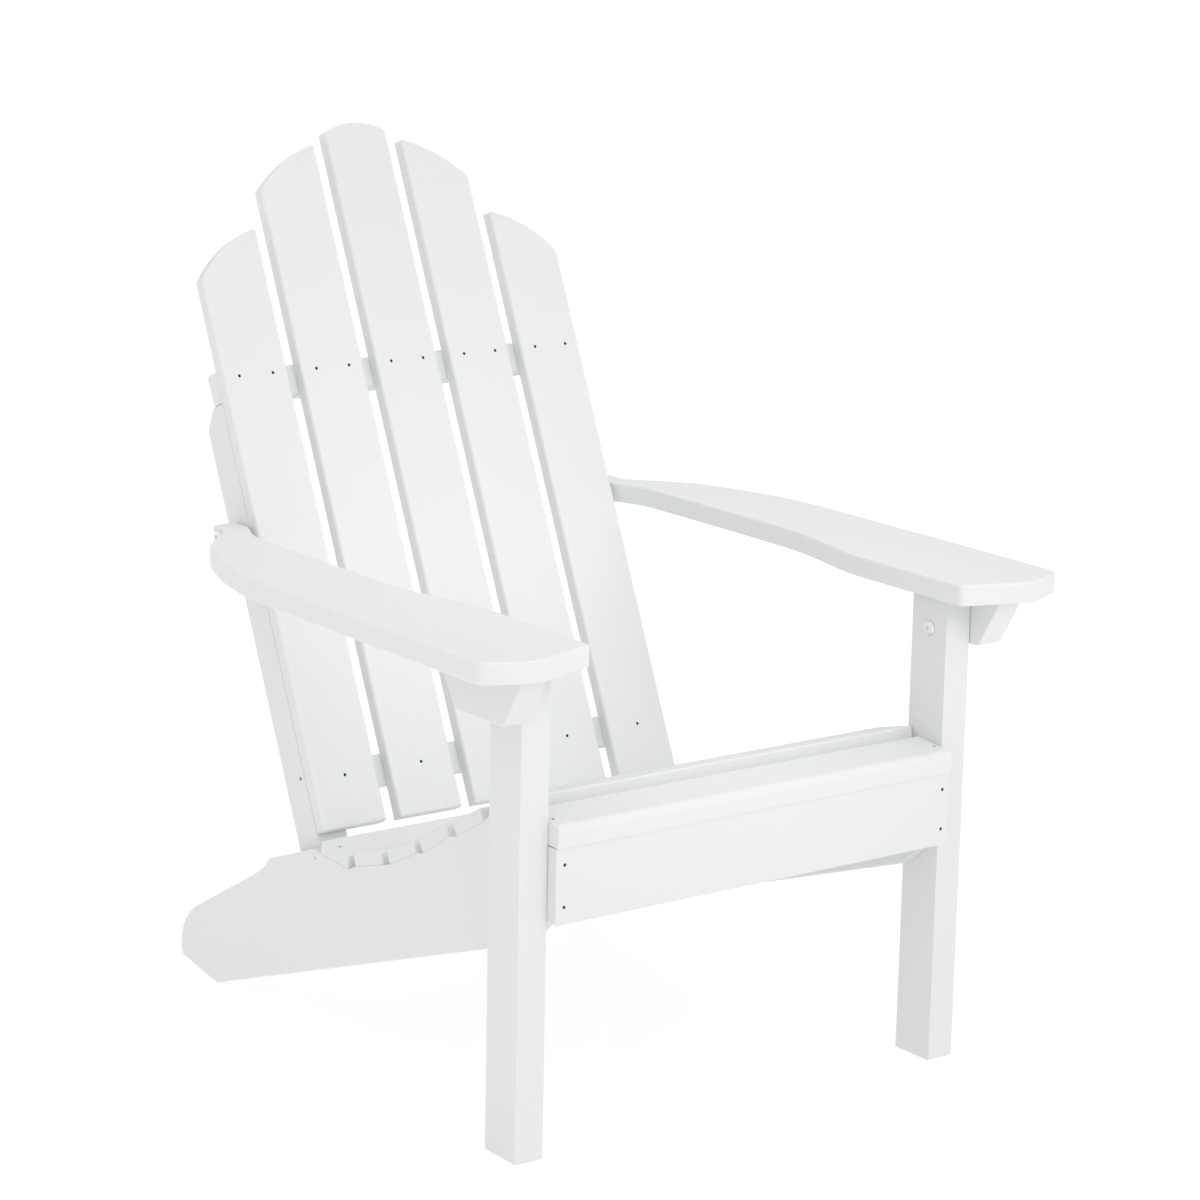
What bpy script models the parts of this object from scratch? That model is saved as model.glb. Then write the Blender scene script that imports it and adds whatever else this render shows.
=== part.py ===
"""Adirondack chair: a fixed, knock-down chair of plastic lumber boards.

Metres, +Z up, the front faces -Y.  The origin is on the floor, at the middle
of the chair's plan.  Boards are laid out in a design frame whose Y = 0 is the
front face of the front legs; one empty carries the whole chair to its origin.
Every dimension below is in design units, and UNIT turns them into metres.
"""

import math

import bmesh
import bpy
from mathutils import Matrix, Vector

UNIT = 0.00096            # metres in one design unit: sets the chair's real size

# ---------------------------------------------------------------- dimensions
ORIGIN_Y = 377.2          # middle of the plan, behind the legs' front faces
GAP = 0.33                # working gap between touching boards
EDGE = 2.5                # rounding of every board edge
EDGE_SEGMENTS = 1

# front legs
LEG_INNER_X = 273.7
LEG_OUTER_X = 309.4
LEG_DEPTH = 58.0
LEG_TOP = 549.3

# side stringers
STRINGER_INNER_X = 257.4
STRINGER_OUTER_X = 273.4
STRINGER_FALL = 0.3590    # rise of the lower edge per length
STRINGER_HEEL_Y = 681.0   # front corner of the ground cut
STRINGER_HEEL_LIFT = 13.2  # the ground cut rises this much to the rear
STRINGER_CLIP_TOP = 268.0
STRINGER_CLIP = 42.0      # clipped lower front corner
REAR_TOP_SLOPE = -0.3837  # upper edge behind the seat
REAR_TOP_POINT = (486.8, 217.1)

# seat
SEAT_THICK = 16.0
FRONT_SLAT_THICK = 25.5   # the front slat is a heavier board with a rounded nose
FRONT_SLAT_NOSE = 8.5
SEAT_HALF_LENGTH = 273.4
# middle of the underside (y, z), tilt in degrees (+ rises to the front), width
SEAT_SLATS = [
    (417.0, 223.6, -2.0, 58.0),
    (344.6, 237.3, 16.8, 60.0),
    (275.5, 263.3, 27.1, 60.0),
    (210.8, 296.2, 32.6, 60.0),
    (145.2, 331.0, 30.2, 60.0),
    (75.4, 366.7, 15.0, 60.0),
    (12.0, 352.5, -5.0, 59.7),
]

# front apron
APRON_HALF_LENGTH = 273.4
APRON_THICK = 16.0
APRON_BOTTOM = 265.3
APRON_TOP = 349.6

# back: a plane through (y, z), leaning to the rear
BACK_Y = 463.7
BACK_Z = 242.9
BACK_LEAN = 24.0
SLAT_WIDTH = 87.2
SLAT_PITCH = 106.4
SLAT_THICK = 17.0
# heights along the slat: inner corner, middle, outer corner of each top
TOP_CENTRE = (836.0, 847.0, 836.0)
TOP_MIDDLE = (823.0, 804.5, 770.0)
TOP_OUTER = (724.0, 705.5, 666.0)
RAIL_THICK = 22.0
RAIL_HEIGHT = 38.0
UPPER_RAIL_S = 538.5
LOWER_RAIL_S = 62.0
UPPER_SCREW_S = 546.0
LOWER_SCREW_S = 62.0
UPPER_SCREW_OFFSET = 23.0
STILE_OUTER_X = 257.1
STILE_THICK = 40.0
STILE_DEPTH = 46.0
STILE_BOTTOM = -70.0
STILE_TOP_CLIP = 22.0

# cross rail under the rear of the seat
SEAT_RAIL_FRONT = 448.0
SEAT_RAIL_THICK = 17.0
SEAT_RAIL_BOTTOM = 205.5
SEAT_RAIL_TOP = 224.0

# arms (outlines of the right arm, seen from above)
ARM_BOTTOM = 549.6
ARM_THICK = 24.5
ARM_FRONT_Y = -68.3
ARM_CORNER_Y = -36.0
ARM_INNER_X = 254.0
ARM_OUTER_X = 397.5
ARM_TAIL_X = 289.0         # the narrow tail that is bolted to the stile
ARM_TAIL_Y = 658.5

# cleats under the arms (y, z)
CLEAT_THICK = 33.0
CLEAT_MIDDLE_Y = 31.0
CLEAT_TOP_HALF = 79.6
CLEAT_BOTTOM_HALF = 47.0
CLEAT_BOTTOM = 491.0

# fasteners
SCREW_HEAD_R = 2.1
SCREW_HEAD_H = 2.2
SCREW_SHANK_R = 1.5
BOLT_HEAD_R = 8.8
BOLT_HEAD_H = 2.6
BOLT_SHANK_R = 3.4
FASTENER_STEPS = 8
BOLT_STEPS = 12

WHITE = (0.86, 0.87, 0.87, 1.0)
STEEL = (0.72, 0.72, 0.71, 1.0)
COATED = (0.03, 0.03, 0.03, 1.0)   # dark coated screws


# ---------------------------------------------------------------- scene setup
for old in list(bpy.data.objects):
    bpy.data.objects.remove(old, do_unlink=True)

parts = bpy.data.collections.new("adirondack_chair")
cutters = bpy.data.collections.new("cutters")
bpy.context.scene.collection.children.link(parts)
bpy.context.scene.collection.children.link(cutters)

chair = bpy.data.objects.new("chair_frame", None)
chair.location = (0.0, -ORIGIN_Y * UNIT, 0.0)
parts.objects.link(chair)

back = bpy.data.objects.new("back_frame", None)
back.location = (0.0, BACK_Y * UNIT, BACK_Z * UNIT)
back.rotation_euler = (-math.radians(BACK_LEAN), 0.0, 0.0)
back.parent = chair
parts.objects.link(back)

SIDEWAYS = (math.radians(90), 0.0, math.radians(90))  # outline (y, z), thickness along X
UPRIGHT = (math.radians(90), 0.0, 0.0)                # outline (x, z), thickness along Y


# ---------------------------------------------------------------- helpers
def material(name, colour, roughness, metallic):
    mat = bpy.data.materials.new(name)
    mat.use_nodes = True
    shader = next(n for n in mat.node_tree.nodes if n.type == "BSDF_PRINCIPLED")
    shader.inputs["Base Color"].default_value = colour
    shader.inputs["Roughness"].default_value = roughness
    shader.inputs["Metallic"].default_value = metallic
    return mat


def add(name, mesh, parent=None, location=(0, 0, 0), rotation=(0, 0, 0), metal=None):
    obj = bpy.data.objects.new(name, mesh)
    parts.objects.link(obj)
    obj.parent = parent or chair
    obj.location = [v * UNIT for v in location]
    obj.rotation_euler = rotation
    if metal == "steel":
        obj.data.materials.append(material(name + "_steel", STEEL, 0.35, 1.0))
    elif metal == "coated":
        obj.data.materials.append(material(name + "_coating", COATED, 0.45, 0.4))
    else:
        obj.data.materials.append(material(name + "_lumber", WHITE, 0.55, 0.0))
    return obj


def round_edges(obj, width=EDGE, segments=EDGE_SEGMENTS, angle=32.0):
    mod = obj.modifiers.new("rounded_edges", "BEVEL")
    mod.width = width * UNIT
    mod.segments = segments
    mod.limit_method = "ANGLE"
    mod.angle_limit = math.radians(angle)
    mod.use_clamp_overlap = False
    return obj


def box_mesh(name, size):
    bm = bmesh.new()
    bmesh.ops.create_cube(bm, size=1.0)
    bmesh.ops.scale(bm, vec=[v * UNIT for v in size], verts=bm.verts)
    mesh = bpy.data.meshes.new(name)
    bm.to_mesh(mesh)
    bm.free()
    return mesh


def board(name, low, high, parent=None):
    """A straight board between two corners of its parent's frame."""
    size = [b - a for a, b in zip(low, high)]
    middle = [(a + b) / 2 for a, b in zip(low, high)]
    return round_edges(add(name, box_mesh(name, size), parent, middle))


def outline_mesh(name, points, thickness):
    """A closed flat outline as a filled 2D curve, given its thickness, as a mesh."""
    curve = bpy.data.curves.new(name, "CURVE")
    curve.dimensions = "2D"
    curve.fill_mode = "BOTH"
    curve.extrude = thickness * UNIT / 2
    spline = curve.splines.new("POLY")
    spline.points.add(len(points) - 1)
    for point, (u, v) in zip(spline.points, points):
        point.co = (u * UNIT, v * UNIT, 0.0, 1.0)
    spline.use_cyclic_u = True
    obj = bpy.data.objects.new(name + "_outline", curve)
    bpy.context.scene.collection.objects.link(obj)
    deps = bpy.context.evaluated_depsgraph_get()
    mesh = bpy.data.meshes.new_from_object(obj.evaluated_get(deps))
    mesh.name = name
    bpy.data.objects.remove(obj, do_unlink=True)
    bpy.data.curves.remove(curve)
    bm = bmesh.new()
    bm.from_mesh(mesh)
    bmesh.ops.remove_doubles(bm, verts=bm.verts, dist=0.00001)
    bmesh.ops.dissolve_limit(bm, angle_limit=math.radians(0.2), verts=bm.verts, edges=bm.edges)
    bmesh.ops.recalc_face_normals(bm, faces=bm.faces)
    bm.to_mesh(mesh)
    bm.free()
    mesh.materials.clear()
    return mesh


def shaped(name, points, thickness, parent=None, location=(0, 0, 0), rotation=(0, 0, 0)):
    mesh = outline_mesh(name, points, thickness)
    return round_edges(add(name, mesh, parent, location, rotation))


def arc3(a, b, c, count):
    """Points on the circle through three points, from a to c."""
    ax, ay = a
    bx, by = b
    cx, cy = c
    d = 2 * (ax * (by - cy) + bx * (cy - ay) + cx * (ay - by))
    ux = ((ax**2 + ay**2) * (by - cy) + (bx**2 + by**2) * (cy - ay) + (cx**2 + cy**2) * (ay - by)) / d
    uy = ((ax**2 + ay**2) * (cx - bx) + (bx**2 + by**2) * (ax - cx) + (cx**2 + cy**2) * (bx - ax)) / d
    r = math.hypot(ax - ux, ay - uy)
    t0 = math.atan2(ay - uy, ax - ux)
    t1 = math.atan2(cy - uy, cx - ux)
    tb = math.atan2(by - uy, bx - ux)
    turn = 2 * math.pi
    forward = (t1 - t0) % turn
    if (tb - t0) % turn > forward:
        forward -= turn
    return [(ux + r * math.cos(t0 + forward * i / count), uy + r * math.sin(t0 + forward * i / count))
            for i in range(count + 1)]


def smooth(points, steps):
    """A Catmull-Rom curve through an open list of points."""
    ext = [points[0]] + list(points) + [points[-1]]
    out = []
    for i in range(1, len(ext) - 2):
        p0, p1, p2, p3 = (Vector(ext[i + k]) for k in (-1, 0, 1, 2))
        for k in range(steps):
            t = k / steps
            out.append(tuple(0.5 * ((2 * p1) + (p2 - p0) * t + (2 * p0 - 5 * p1 + 4 * p2 - p3) * t * t
                                    + (3 * p1 - p0 - 3 * p2 + p3) * t**3)))
    out.append(tuple(points[-1]))
    return out


def turned(name, profile, steps):
    """A solid turned about Z from a profile that runs from the top down to the foot."""
    mesh = bpy.data.meshes.new(name)
    bm = bmesh.new()
    verts = [bm.verts.new((r * UNIT, 0.0, z * UNIT)) for r, z in profile]
    for one, two in zip(verts, verts[1:]):
        bm.edges.new((one, two))
    bm.to_mesh(mesh)
    bm.free()
    return mesh


def add_turn(obj, steps):
    mod = obj.modifiers.new("turn", "SCREW")
    mod.steps = steps
    mod.render_steps = steps
    mod.use_merge_vertices = True
    mod.merge_threshold = 0.00001
    mod.use_smooth_shade = False
    return obj


def pointing(direction):
    """Rotation that takes +Z (the head's side) to a direction."""
    return Vector(direction).to_track_quat("Z", "Y").to_euler()


def drill(target, cutter):
    mod = target.modifiers.new("bore_" + cutter.name[-24:], "BOOLEAN")
    mod.operation = "DIFFERENCE"
    mod.solver = "EXACT"
    mod.object = cutter


def fastener(name, head_at, outward, length, holes, parent=None, bolt=False):
    """A screw or connector bolt.  head_at is the middle of the head's seat plane
    (the face of the outer board); outward is the way its head faces.  Its bore,
    a working gap wider all round, is cut in every board in holes."""
    rotation = pointing(outward)
    if bolt:
        r, h, s = BOLT_HEAD_R, BOLT_HEAD_H, BOLT_SHANK_R
        socket, deep = 2.9, 1.5
        profile = [(0, h - deep), (socket, h - deep), (socket, h), (r - 2.6, h), (r - 0.6, h * 0.55), (r, GAP),
                   (s, GAP), (s, -length), (0, -length)]
        bore = [(0, 2.0), (s + GAP, 2.0), (s + GAP, -length - GAP), (0, -length - GAP)]
        steps = BOLT_STEPS
    else:
        r, h, s = SCREW_HEAD_R, SCREW_HEAD_H, SCREW_SHANK_R
        profile = [(0, -1.2), (1.0, -1.2), (1.0, -0.2), (r, -0.2), (r, -0.9), (s, -h), (s, -length), (0, -length)]
        bore = [(0, 2.0), (r + GAP, 2.0), (r + GAP, -1.1), (s + GAP, -h - 0.2), (s + GAP, -length - GAP),
                (0, -length - GAP)]
        steps = FASTENER_STEPS
    obj = add_turn(add(name, turned(name, profile, steps), parent, head_at, rotation,
                       metal="steel" if bolt or "seat_rail" in name else "coated"), steps)
    tool = bpy.data.objects.new("bore_" + name, turned("bore_" + name, bore, steps))
    cutters.objects.link(tool)
    tool.parent = parent or chair
    tool.location = [v * UNIT for v in head_at]
    tool.rotation_euler = rotation
    add_turn(tool, steps)
    tool.hide_render = True
    tool.display_type = "WIRE"
    for target in holes:
        drill(target, tool)
    return obj


# ---------------------------------------------------------------- back
def slat_outline(left, right, top_left, top_middle, top_right):
    middle = ((left + right) / 2, top_middle)
    return [(right, 0.0)] + arc3((right, top_right), middle, (left, top_left), 12) + [(left, 0.0)]


slats = []
tops = [
    (TOP_OUTER[2], TOP_OUTER[1], TOP_OUTER[0]),
    (TOP_MIDDLE[2], TOP_MIDDLE[1], TOP_MIDDLE[0]),
    TOP_CENTRE,
    TOP_MIDDLE,
    TOP_OUTER,
]
for i, (a, b, c) in enumerate(tops):
    x = (i - 2) * SLAT_PITCH
    points = slat_outline(x - SLAT_WIDTH / 2, x + SLAT_WIDTH / 2, a, b, c)
    slats.append(shaped(f"back_slat_{i + 1}", points, SLAT_THICK, back, (0, SLAT_THICK / 2, 0), UPRIGHT))

BEHIND = SLAT_THICK + GAP
half_back = 2 * SLAT_PITCH + SLAT_WIDTH / 2
upper_rail = board("upper_back_rail",
                   (-half_back, BEHIND, UPPER_RAIL_S - RAIL_HEIGHT / 2),
                   (half_back, BEHIND + RAIL_THICK, UPPER_RAIL_S + RAIL_HEIGHT / 2), back)
rail_end = STILE_OUTER_X - STILE_THICK - GAP
lower_rail = board("lower_back_rail",
                   (-rail_end, BEHIND, LOWER_RAIL_S - RAIL_HEIGHT / 2),
                   (rail_end, BEHIND + RAIL_THICK, LOWER_RAIL_S + RAIL_HEIGHT / 2), back)

stile_top = UPPER_RAIL_S - RAIL_HEIGHT / 2 - GAP
stiles = {}
for word, side in (("left", -1), ("right", 1)):
    far = BEHIND + STILE_DEPTH
    points = [(BEHIND, STILE_BOTTOM), (far, STILE_BOTTOM), (far, stile_top - STILE_TOP_CLIP),
              (far - STILE_TOP_CLIP, stile_top), (BEHIND, stile_top)]
    stiles[side] = shaped(f"back_stile_{word}", points, STILE_THICK, back,
                          (side * (STILE_OUTER_X - STILE_THICK / 2), 0, 0), SIDEWAYS)


# ---------------------------------------------------------------- seat line
def seat_flat(slat):
    """The flat on the stringer's upper edge that carries one slat, front end first."""
    y, z, tilt, width = slat
    half = width / 2 + 1.5
    run, rise = math.cos(math.radians(tilt)), math.sin(math.radians(tilt))
    return [(y - half * run, z - GAP + half * rise), (y + half * run, z - GAP - half * rise)]


def meet(one, two):
    z1, y1, m1 = one
    z2, y2, m2 = two
    y = (z2 - m2 * y2 - z1 + m1 * y1) / (m1 - m2)
    return y, z1 + m1 * (y - y1)


seat_top = [point for slat in reversed(SEAT_SLATS) for point in seat_flat(slat)]
y, z, tilt, _ = SEAT_SLATS[-1]
seat_top[0] = (0.0, z - GAP + (y - 0.0) * math.tan(math.radians(tilt)))
y, z, tilt, _ = SEAT_SLATS[0]
seat_top[-1] = meet((z - GAP, y, -math.tan(math.radians(tilt))), (REAR_TOP_POINT[1], REAR_TOP_POINT[0], REAR_TOP_SLOPE))

# upper edge, ogee, straight fall, rounded heel
step_y = 553.0
step_z = REAR_TOP_POINT[1] + REAR_TOP_SLOPE * (step_y - REAR_TOP_POINT[0])
ogee = arc3((step_y, step_z), (561.5, 187.8), (567.0, 181.0), 4) + arc3((569.5, 178.2), (582.0, 168.9), (600.0, 157.5), 4)
heel = arc3((723.0, 88.3), (755.0, 62.0), (766.2, 35.0), 7) + [(766.0, 20.5), (763.0, STRINGER_HEEL_LIFT)]
low_front = (STRINGER_HEEL_Y - STRINGER_CLIP) * STRINGER_FALL
stringer_outline = (seat_top + ogee + heel + [(STRINGER_HEEL_Y, 0.0), (STRINGER_CLIP, low_front),
                                              (0.0, STRINGER_CLIP_TOP)])

stringers, legs, cleats, arms = {}, {}, {}, {}
for word, side in (("left", -1), ("right", 1)):
    thick = STRINGER_OUTER_X - STRINGER_INNER_X
    stringers[side] = shaped(f"side_stringer_{word}", stringer_outline, thick, None,
                             (side * (STRINGER_INNER_X + thick / 2), 0, 0), SIDEWAYS)
    xs = sorted((side * LEG_INNER_X, side * LEG_OUTER_X))
    legs[side] = board(f"front_leg_{word}", (xs[0], 0, 0), (xs[1], LEG_DEPTH, LEG_TOP))

    top, bottom, middle = CLEAT_TOP_HALF, CLEAT_BOTTOM_HALF, CLEAT_MIDDLE_Y
    points = [(middle - top, LEG_TOP), (middle - bottom, CLEAT_BOTTOM + 3.0), (middle - bottom + 5.0, CLEAT_BOTTOM),
              (middle + bottom - 5.0, CLEAT_BOTTOM), (middle + bottom, CLEAT_BOTTOM + 3.0), (middle + top, LEG_TOP)]
    cleats[side] = shaped(f"arm_cleat_{word}", points, CLEAT_THICK, None,
                          (side * (LEG_OUTER_X + GAP + CLEAT_THICK / 2), 0, 0), SIDEWAYS)

# ---------------------------------------------------------------- arms
touch_x = STILE_OUTER_X + GAP
front = smooth([(ARM_INNER_X, ARM_CORNER_Y), (255.6, -41.6), (262.0, -46.0), (290.0, -55.5), (320.0, -65.8),
                (336.0, ARM_FRONT_Y), (352.0, -65.6), (371.0, -58.0), (389.0, -49.0), (395.2, -43.5)], 2)
outer = smooth([(ARM_OUTER_X, ARM_CORNER_Y + 3.0), (ARM_OUTER_X, 120.0), (ARM_OUTER_X, 300.0), (395.6, 400.0),
                (388.0, 450.0), (374.6, 500.0), (355.3, 550.0), (344.0, 571.0), (328.0, 588.5), (306.0, 612.0),
                (289.0, 629.0)], 3)
tail = [(ARM_TAIL_X, 634.0), (ARM_TAIL_X, ARM_TAIL_Y), (touch_x, ARM_TAIL_Y), (touch_x, 631.0)]
inner = smooth([(263.0, 617.0), (270.0, 601.0), (275.0, 588.0), (279.0, 568.0), (280.3, 530.0), (280.5, 460.0),
                (280.3, 390.0), (279.5, 310.0), (276.5, 262.0), (268.0, 215.0), (258.0, 168.0), (254.3, 130.0),
                (ARM_INNER_X, 60.0)], 3)
arm_outline = front + outer + tail + inner
for word, side in (("left", -1), ("right", 1)):
    points = [(side * x, y) for x, y in arm_outline]
    if side < 0:
        points.reverse()
    arms[side] = shaped(f"arm_{word}", points, ARM_THICK, None, (0, 0, ARM_BOTTOM + ARM_THICK / 2))

# a cross rail between the stringers carries the rear of the seat
rear_seat_rail = board("rear_seat_rail", (-STRINGER_INNER_X + GAP, SEAT_RAIL_FRONT, SEAT_RAIL_BOTTOM),
                       (STRINGER_INNER_X - GAP, SEAT_RAIL_FRONT + SEAT_RAIL_THICK, SEAT_RAIL_TOP))

# ---------------------------------------------------------------- seat slats and apron
seat = []
for i, (y, z, tilt, width) in enumerate(SEAT_SLATS):
    name = f"seat_slat_{i + 1}"
    angle = -math.radians(tilt)
    normal = Matrix.Rotation(angle, 3, "X") @ Vector((0, 0, 1))
    thick = FRONT_SLAT_THICK if i == 6 else SEAT_THICK
    at = Vector((0, y, z)) + normal * (thick / 2)
    mesh = box_mesh(name, (2 * SEAT_HALF_LENGTH, width, thick))
    seat.append(round_edges(add(name, mesh, None, at, (angle, 0, 0))))
# the front slat has a rounded nose
nose = seat[-1]
weights = nose.data.attributes.new("bevel_weight_edge", "FLOAT", "EDGE")
for edge in nose.data.edges:
    ends = [nose.data.vertices[i].co for i in edge.vertices]
    along_nose = abs(ends[0].x - ends[1].x) > UNIT and all(co.y < 0 < co.z for co in ends)
    weights.data[edge.index].value = 1.0 if along_nose else EDGE / FRONT_SLAT_NOSE
nose.modifiers["rounded_edges"].limit_method = "WEIGHT"
nose.modifiers["rounded_edges"].width = FRONT_SLAT_NOSE * UNIT
nose.modifiers["rounded_edges"].segments = 4

apron = board("front_apron", (-APRON_HALF_LENGTH, -GAP - APRON_THICK, APRON_BOTTOM), (APRON_HALF_LENGTH, -GAP, APRON_TOP))

# ---------------------------------------------------------------- fasteners
for i, slat in enumerate(slats):
    x = (i - 2) * SLAT_PITCH
    for tag, dx in (("a", -UPPER_SCREW_OFFSET), ("b", UPPER_SCREW_OFFSET)):
        fastener(f"upper_slat_screw_{i + 1}{tag}", (x + dx, 0, UPPER_SCREW_S), (0, -1, 0), 33.0,
                 [slat, upper_rail], back)
    # the outer slats' lower screws go into the rail, just inside the stiles
    fastener(f"lower_slat_screw_{i + 1}", (x, 0, LOWER_SCREW_S), (0, -1, 0), 33.0, [slat, lower_rail], back)

for word, side in (("left", -1), ("right", 1)):
    for tag, z in (("low", 285.0), ("high", 331.5)):
        fastener(f"apron_screw_{word}_{tag}", (side * 263.0, -GAP - APRON_THICK, z), (0, -1, 0), 38.0,
                 [apron, stringers[side]])
    fastener(f"cleat_bolt_{word}", (side * LEG_INNER_X, 29.0, 508.8), (-side, 0, 0), 60.0,
             [legs[side], cleats[side]], bolt=True)
    fastener(f"arm_bolt_{word}", (side * ARM_TAIL_X, 646.0, 562.0), (side, 0, 0), 50.0,
             [arms[side], stiles[side]], bolt=True)
    for tag, z in (("low", 272.0), ("high", 330.0)):
        fastener(f"leg_bolt_{word}_{tag}", (side * STRINGER_INNER_X, 29.0, z), (-side, 0, 0), 44.0,
                 [stringers[side], legs[side]], bolt=True)
    fastener(f"stile_screw_{word}", (side * STILE_OUTER_X, 26.0, LOWER_RAIL_S + 6.5), (side, 0, 0), 60.0,
             [stiles[side], lower_rail], back)
    fastener(f"seat_rail_screw_{word}", (side * STRINGER_OUTER_X, 456.4, 216.7), (side, 0, 0), 50.0,
             [stringers[side], rear_seat_rail])
    # the stile stands inside the stringer; its bolt is put in from the chair's inner side
    fastener(f"stile_bolt_{word}", (side * (STILE_OUTER_X - STILE_THICK), 40.0, -42.0), (-side, 0, 0), 50.0,
             [stiles[side], stringers[side]], back, bolt=True)

for obj in parts.objects:
    if obj.type == "MESH":
        for poly in obj.data.polygons:
            poly.use_smooth = False
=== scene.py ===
"""Adirondack chair of white plastic lumber: finished boards, fasteners, studio and camera."""

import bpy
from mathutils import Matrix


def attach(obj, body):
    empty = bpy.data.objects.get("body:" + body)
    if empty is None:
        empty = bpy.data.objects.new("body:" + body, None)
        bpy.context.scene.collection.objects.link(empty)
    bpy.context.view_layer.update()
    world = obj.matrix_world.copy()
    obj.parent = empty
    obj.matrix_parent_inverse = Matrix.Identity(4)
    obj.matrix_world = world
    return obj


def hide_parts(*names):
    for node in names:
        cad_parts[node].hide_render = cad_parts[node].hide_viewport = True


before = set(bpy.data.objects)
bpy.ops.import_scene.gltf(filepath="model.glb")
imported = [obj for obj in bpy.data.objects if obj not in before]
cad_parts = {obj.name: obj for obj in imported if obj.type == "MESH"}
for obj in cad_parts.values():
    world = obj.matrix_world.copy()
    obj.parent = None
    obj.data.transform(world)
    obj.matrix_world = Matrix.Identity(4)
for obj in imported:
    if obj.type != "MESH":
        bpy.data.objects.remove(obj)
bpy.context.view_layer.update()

import math
import random

import bmesh
import bpy
from mathutils import Matrix, Vector

# ------------------------------------------------------------------ sizes
# Design units; UNIT turns them into metres.  Y = 0 is the legs' front face.
UNIT = 0.00096
ORIGIN_Y = 377.2
GAP = 0.33
ROUND = 2.8               # rounding of the board edges
ROUND_STEPS = 4
SLAT_ROUND = 4.4          # the back slats' front edges are softer
CRISP = 0.3               # where a board bears on another
SHARP = 0.15              # the rear edges of the back slats, where they lie on the stiles
BEARING = 0.07            # hairline left where the visible boards bear

LEG_INNER_X = 273.7
LEG_OUTER_X = 309.4
LEG_DEPTH = 58.0
LEG_TOP = 549.3
STRINGER_INNER_X = 257.4
STRINGER_OUTER_X = 273.4
STRINGER_FALL = 0.3590
STRINGER_HEEL_Y = 681.0
STRINGER_HEEL_LIFT = 13.2
STRINGER_CLIP_TOP = 268.0
STRINGER_CLIP = 42.0
REAR_TOP_SLOPE = -0.3837
REAR_TOP_POINT = (486.8, 217.1)
SEAT_THICK = 16.0
FRONT_SLAT_THICK = 25.5
FRONT_SLAT_NOSE = 8.5
SEAT_HALF_LENGTH = 273.4
SEAT_SLATS = [
    (417.0, 223.6, -2.0, 58.0),
    (344.6, 237.3, 16.8, 60.0),
    (275.5, 263.3, 27.1, 60.0),
    (210.8, 296.2, 32.6, 60.0),
    (145.2, 331.0, 30.2, 60.0),
    (75.4, 366.7, 15.0, 60.0),
    (12.0, 352.5, -5.0, 59.7),
]
APRON_HALF_LENGTH = 273.4
APRON_THICK = 16.0
APRON_BOTTOM = 265.3
APRON_TOP = 349.6
BACK_Y = 463.7
BACK_Z = 242.9
BACK_LEAN = 24.0
SLAT_WIDTH = 87.2
SLAT_PITCH = 106.4
SLAT_THICK = 17.0
TOP_CENTRE = (836.0, 847.0, 836.0)
TOP_MIDDLE = (823.0, 804.5, 770.0)
TOP_OUTER = (724.0, 705.5, 666.0)
RAIL_THICK = 22.0
RAIL_HEIGHT = 38.0
UPPER_RAIL_S = 538.5
LOWER_RAIL_S = 62.0
UPPER_SCREW_S = 546.0
LOWER_SCREW_S = 62.0
UPPER_SCREW_OFFSET = 23.0
STILE_OUTER_X = 257.1
STILE_THICK = 40.0
STILE_DEPTH = 46.0
STILE_BOTTOM = -70.0
STILE_TOP_CLIP = 22.0
SEAT_RAIL_FRONT = 448.0
SEAT_RAIL_THICK = 17.0
SEAT_RAIL_BOTTOM = 205.5
SEAT_RAIL_TOP = 224.0
ARM_BOTTOM = 549.6
ARM_THICK = 24.5
ARM_FRONT_Y = -68.3
ARM_CORNER_Y = -36.0
ARM_INNER_X = 254.0
ARM_OUTER_X = 397.5
ARM_TAIL_X = 289.0
ARM_TAIL_Y = 658.5
CLEAT_THICK = 33.0
CLEAT_MIDDLE_Y = 31.0
CLEAT_TOP_HALF = 79.6
CLEAT_BOTTOM_HALF = 47.0
CLEAT_BOTTOM = 491.0
SCREW_HEAD_R = 1.8
SCREW_SHANK_R = 1.5
BOLT_HEAD_R = 8.8
BOLT_HEAD_H = 2.6
BOLT_SHANK_R = 3.4

random.seed(7)
CHAIR = Matrix.Translation((0, -ORIGIN_Y * UNIT, 0))
BACK = CHAIR @ Matrix.Translation((0, BACK_Y * UNIT, BACK_Z * UNIT)) @ Matrix.Rotation(-math.radians(BACK_LEAN), 4, "X")
SIDEWAYS = Matrix.Rotation(math.radians(90), 4, "Z") @ Matrix.Rotation(math.radians(90), 4, "X")
UPRIGHT = Matrix.Rotation(math.radians(90), 4, "X")
FLAT = Matrix.Identity(4)


def at(frame_matrix, point, turn=FLAT):
    return frame_matrix @ Matrix.Translation([v * UNIT for v in point]) @ turn


# ------------------------------------------------------------------ materials
def new_material(name):
    mat = bpy.data.materials.new(name)
    mat.use_nodes = True
    tree = mat.node_tree
    shader = next(n for n in tree.nodes if n.type == "BSDF_PRINCIPLED")
    return mat, tree, shader


def node(tree, kind, **values):
    made = tree.nodes.new(kind)
    for key, value in values.items():
        setattr(made, key, value)
    return made


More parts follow.
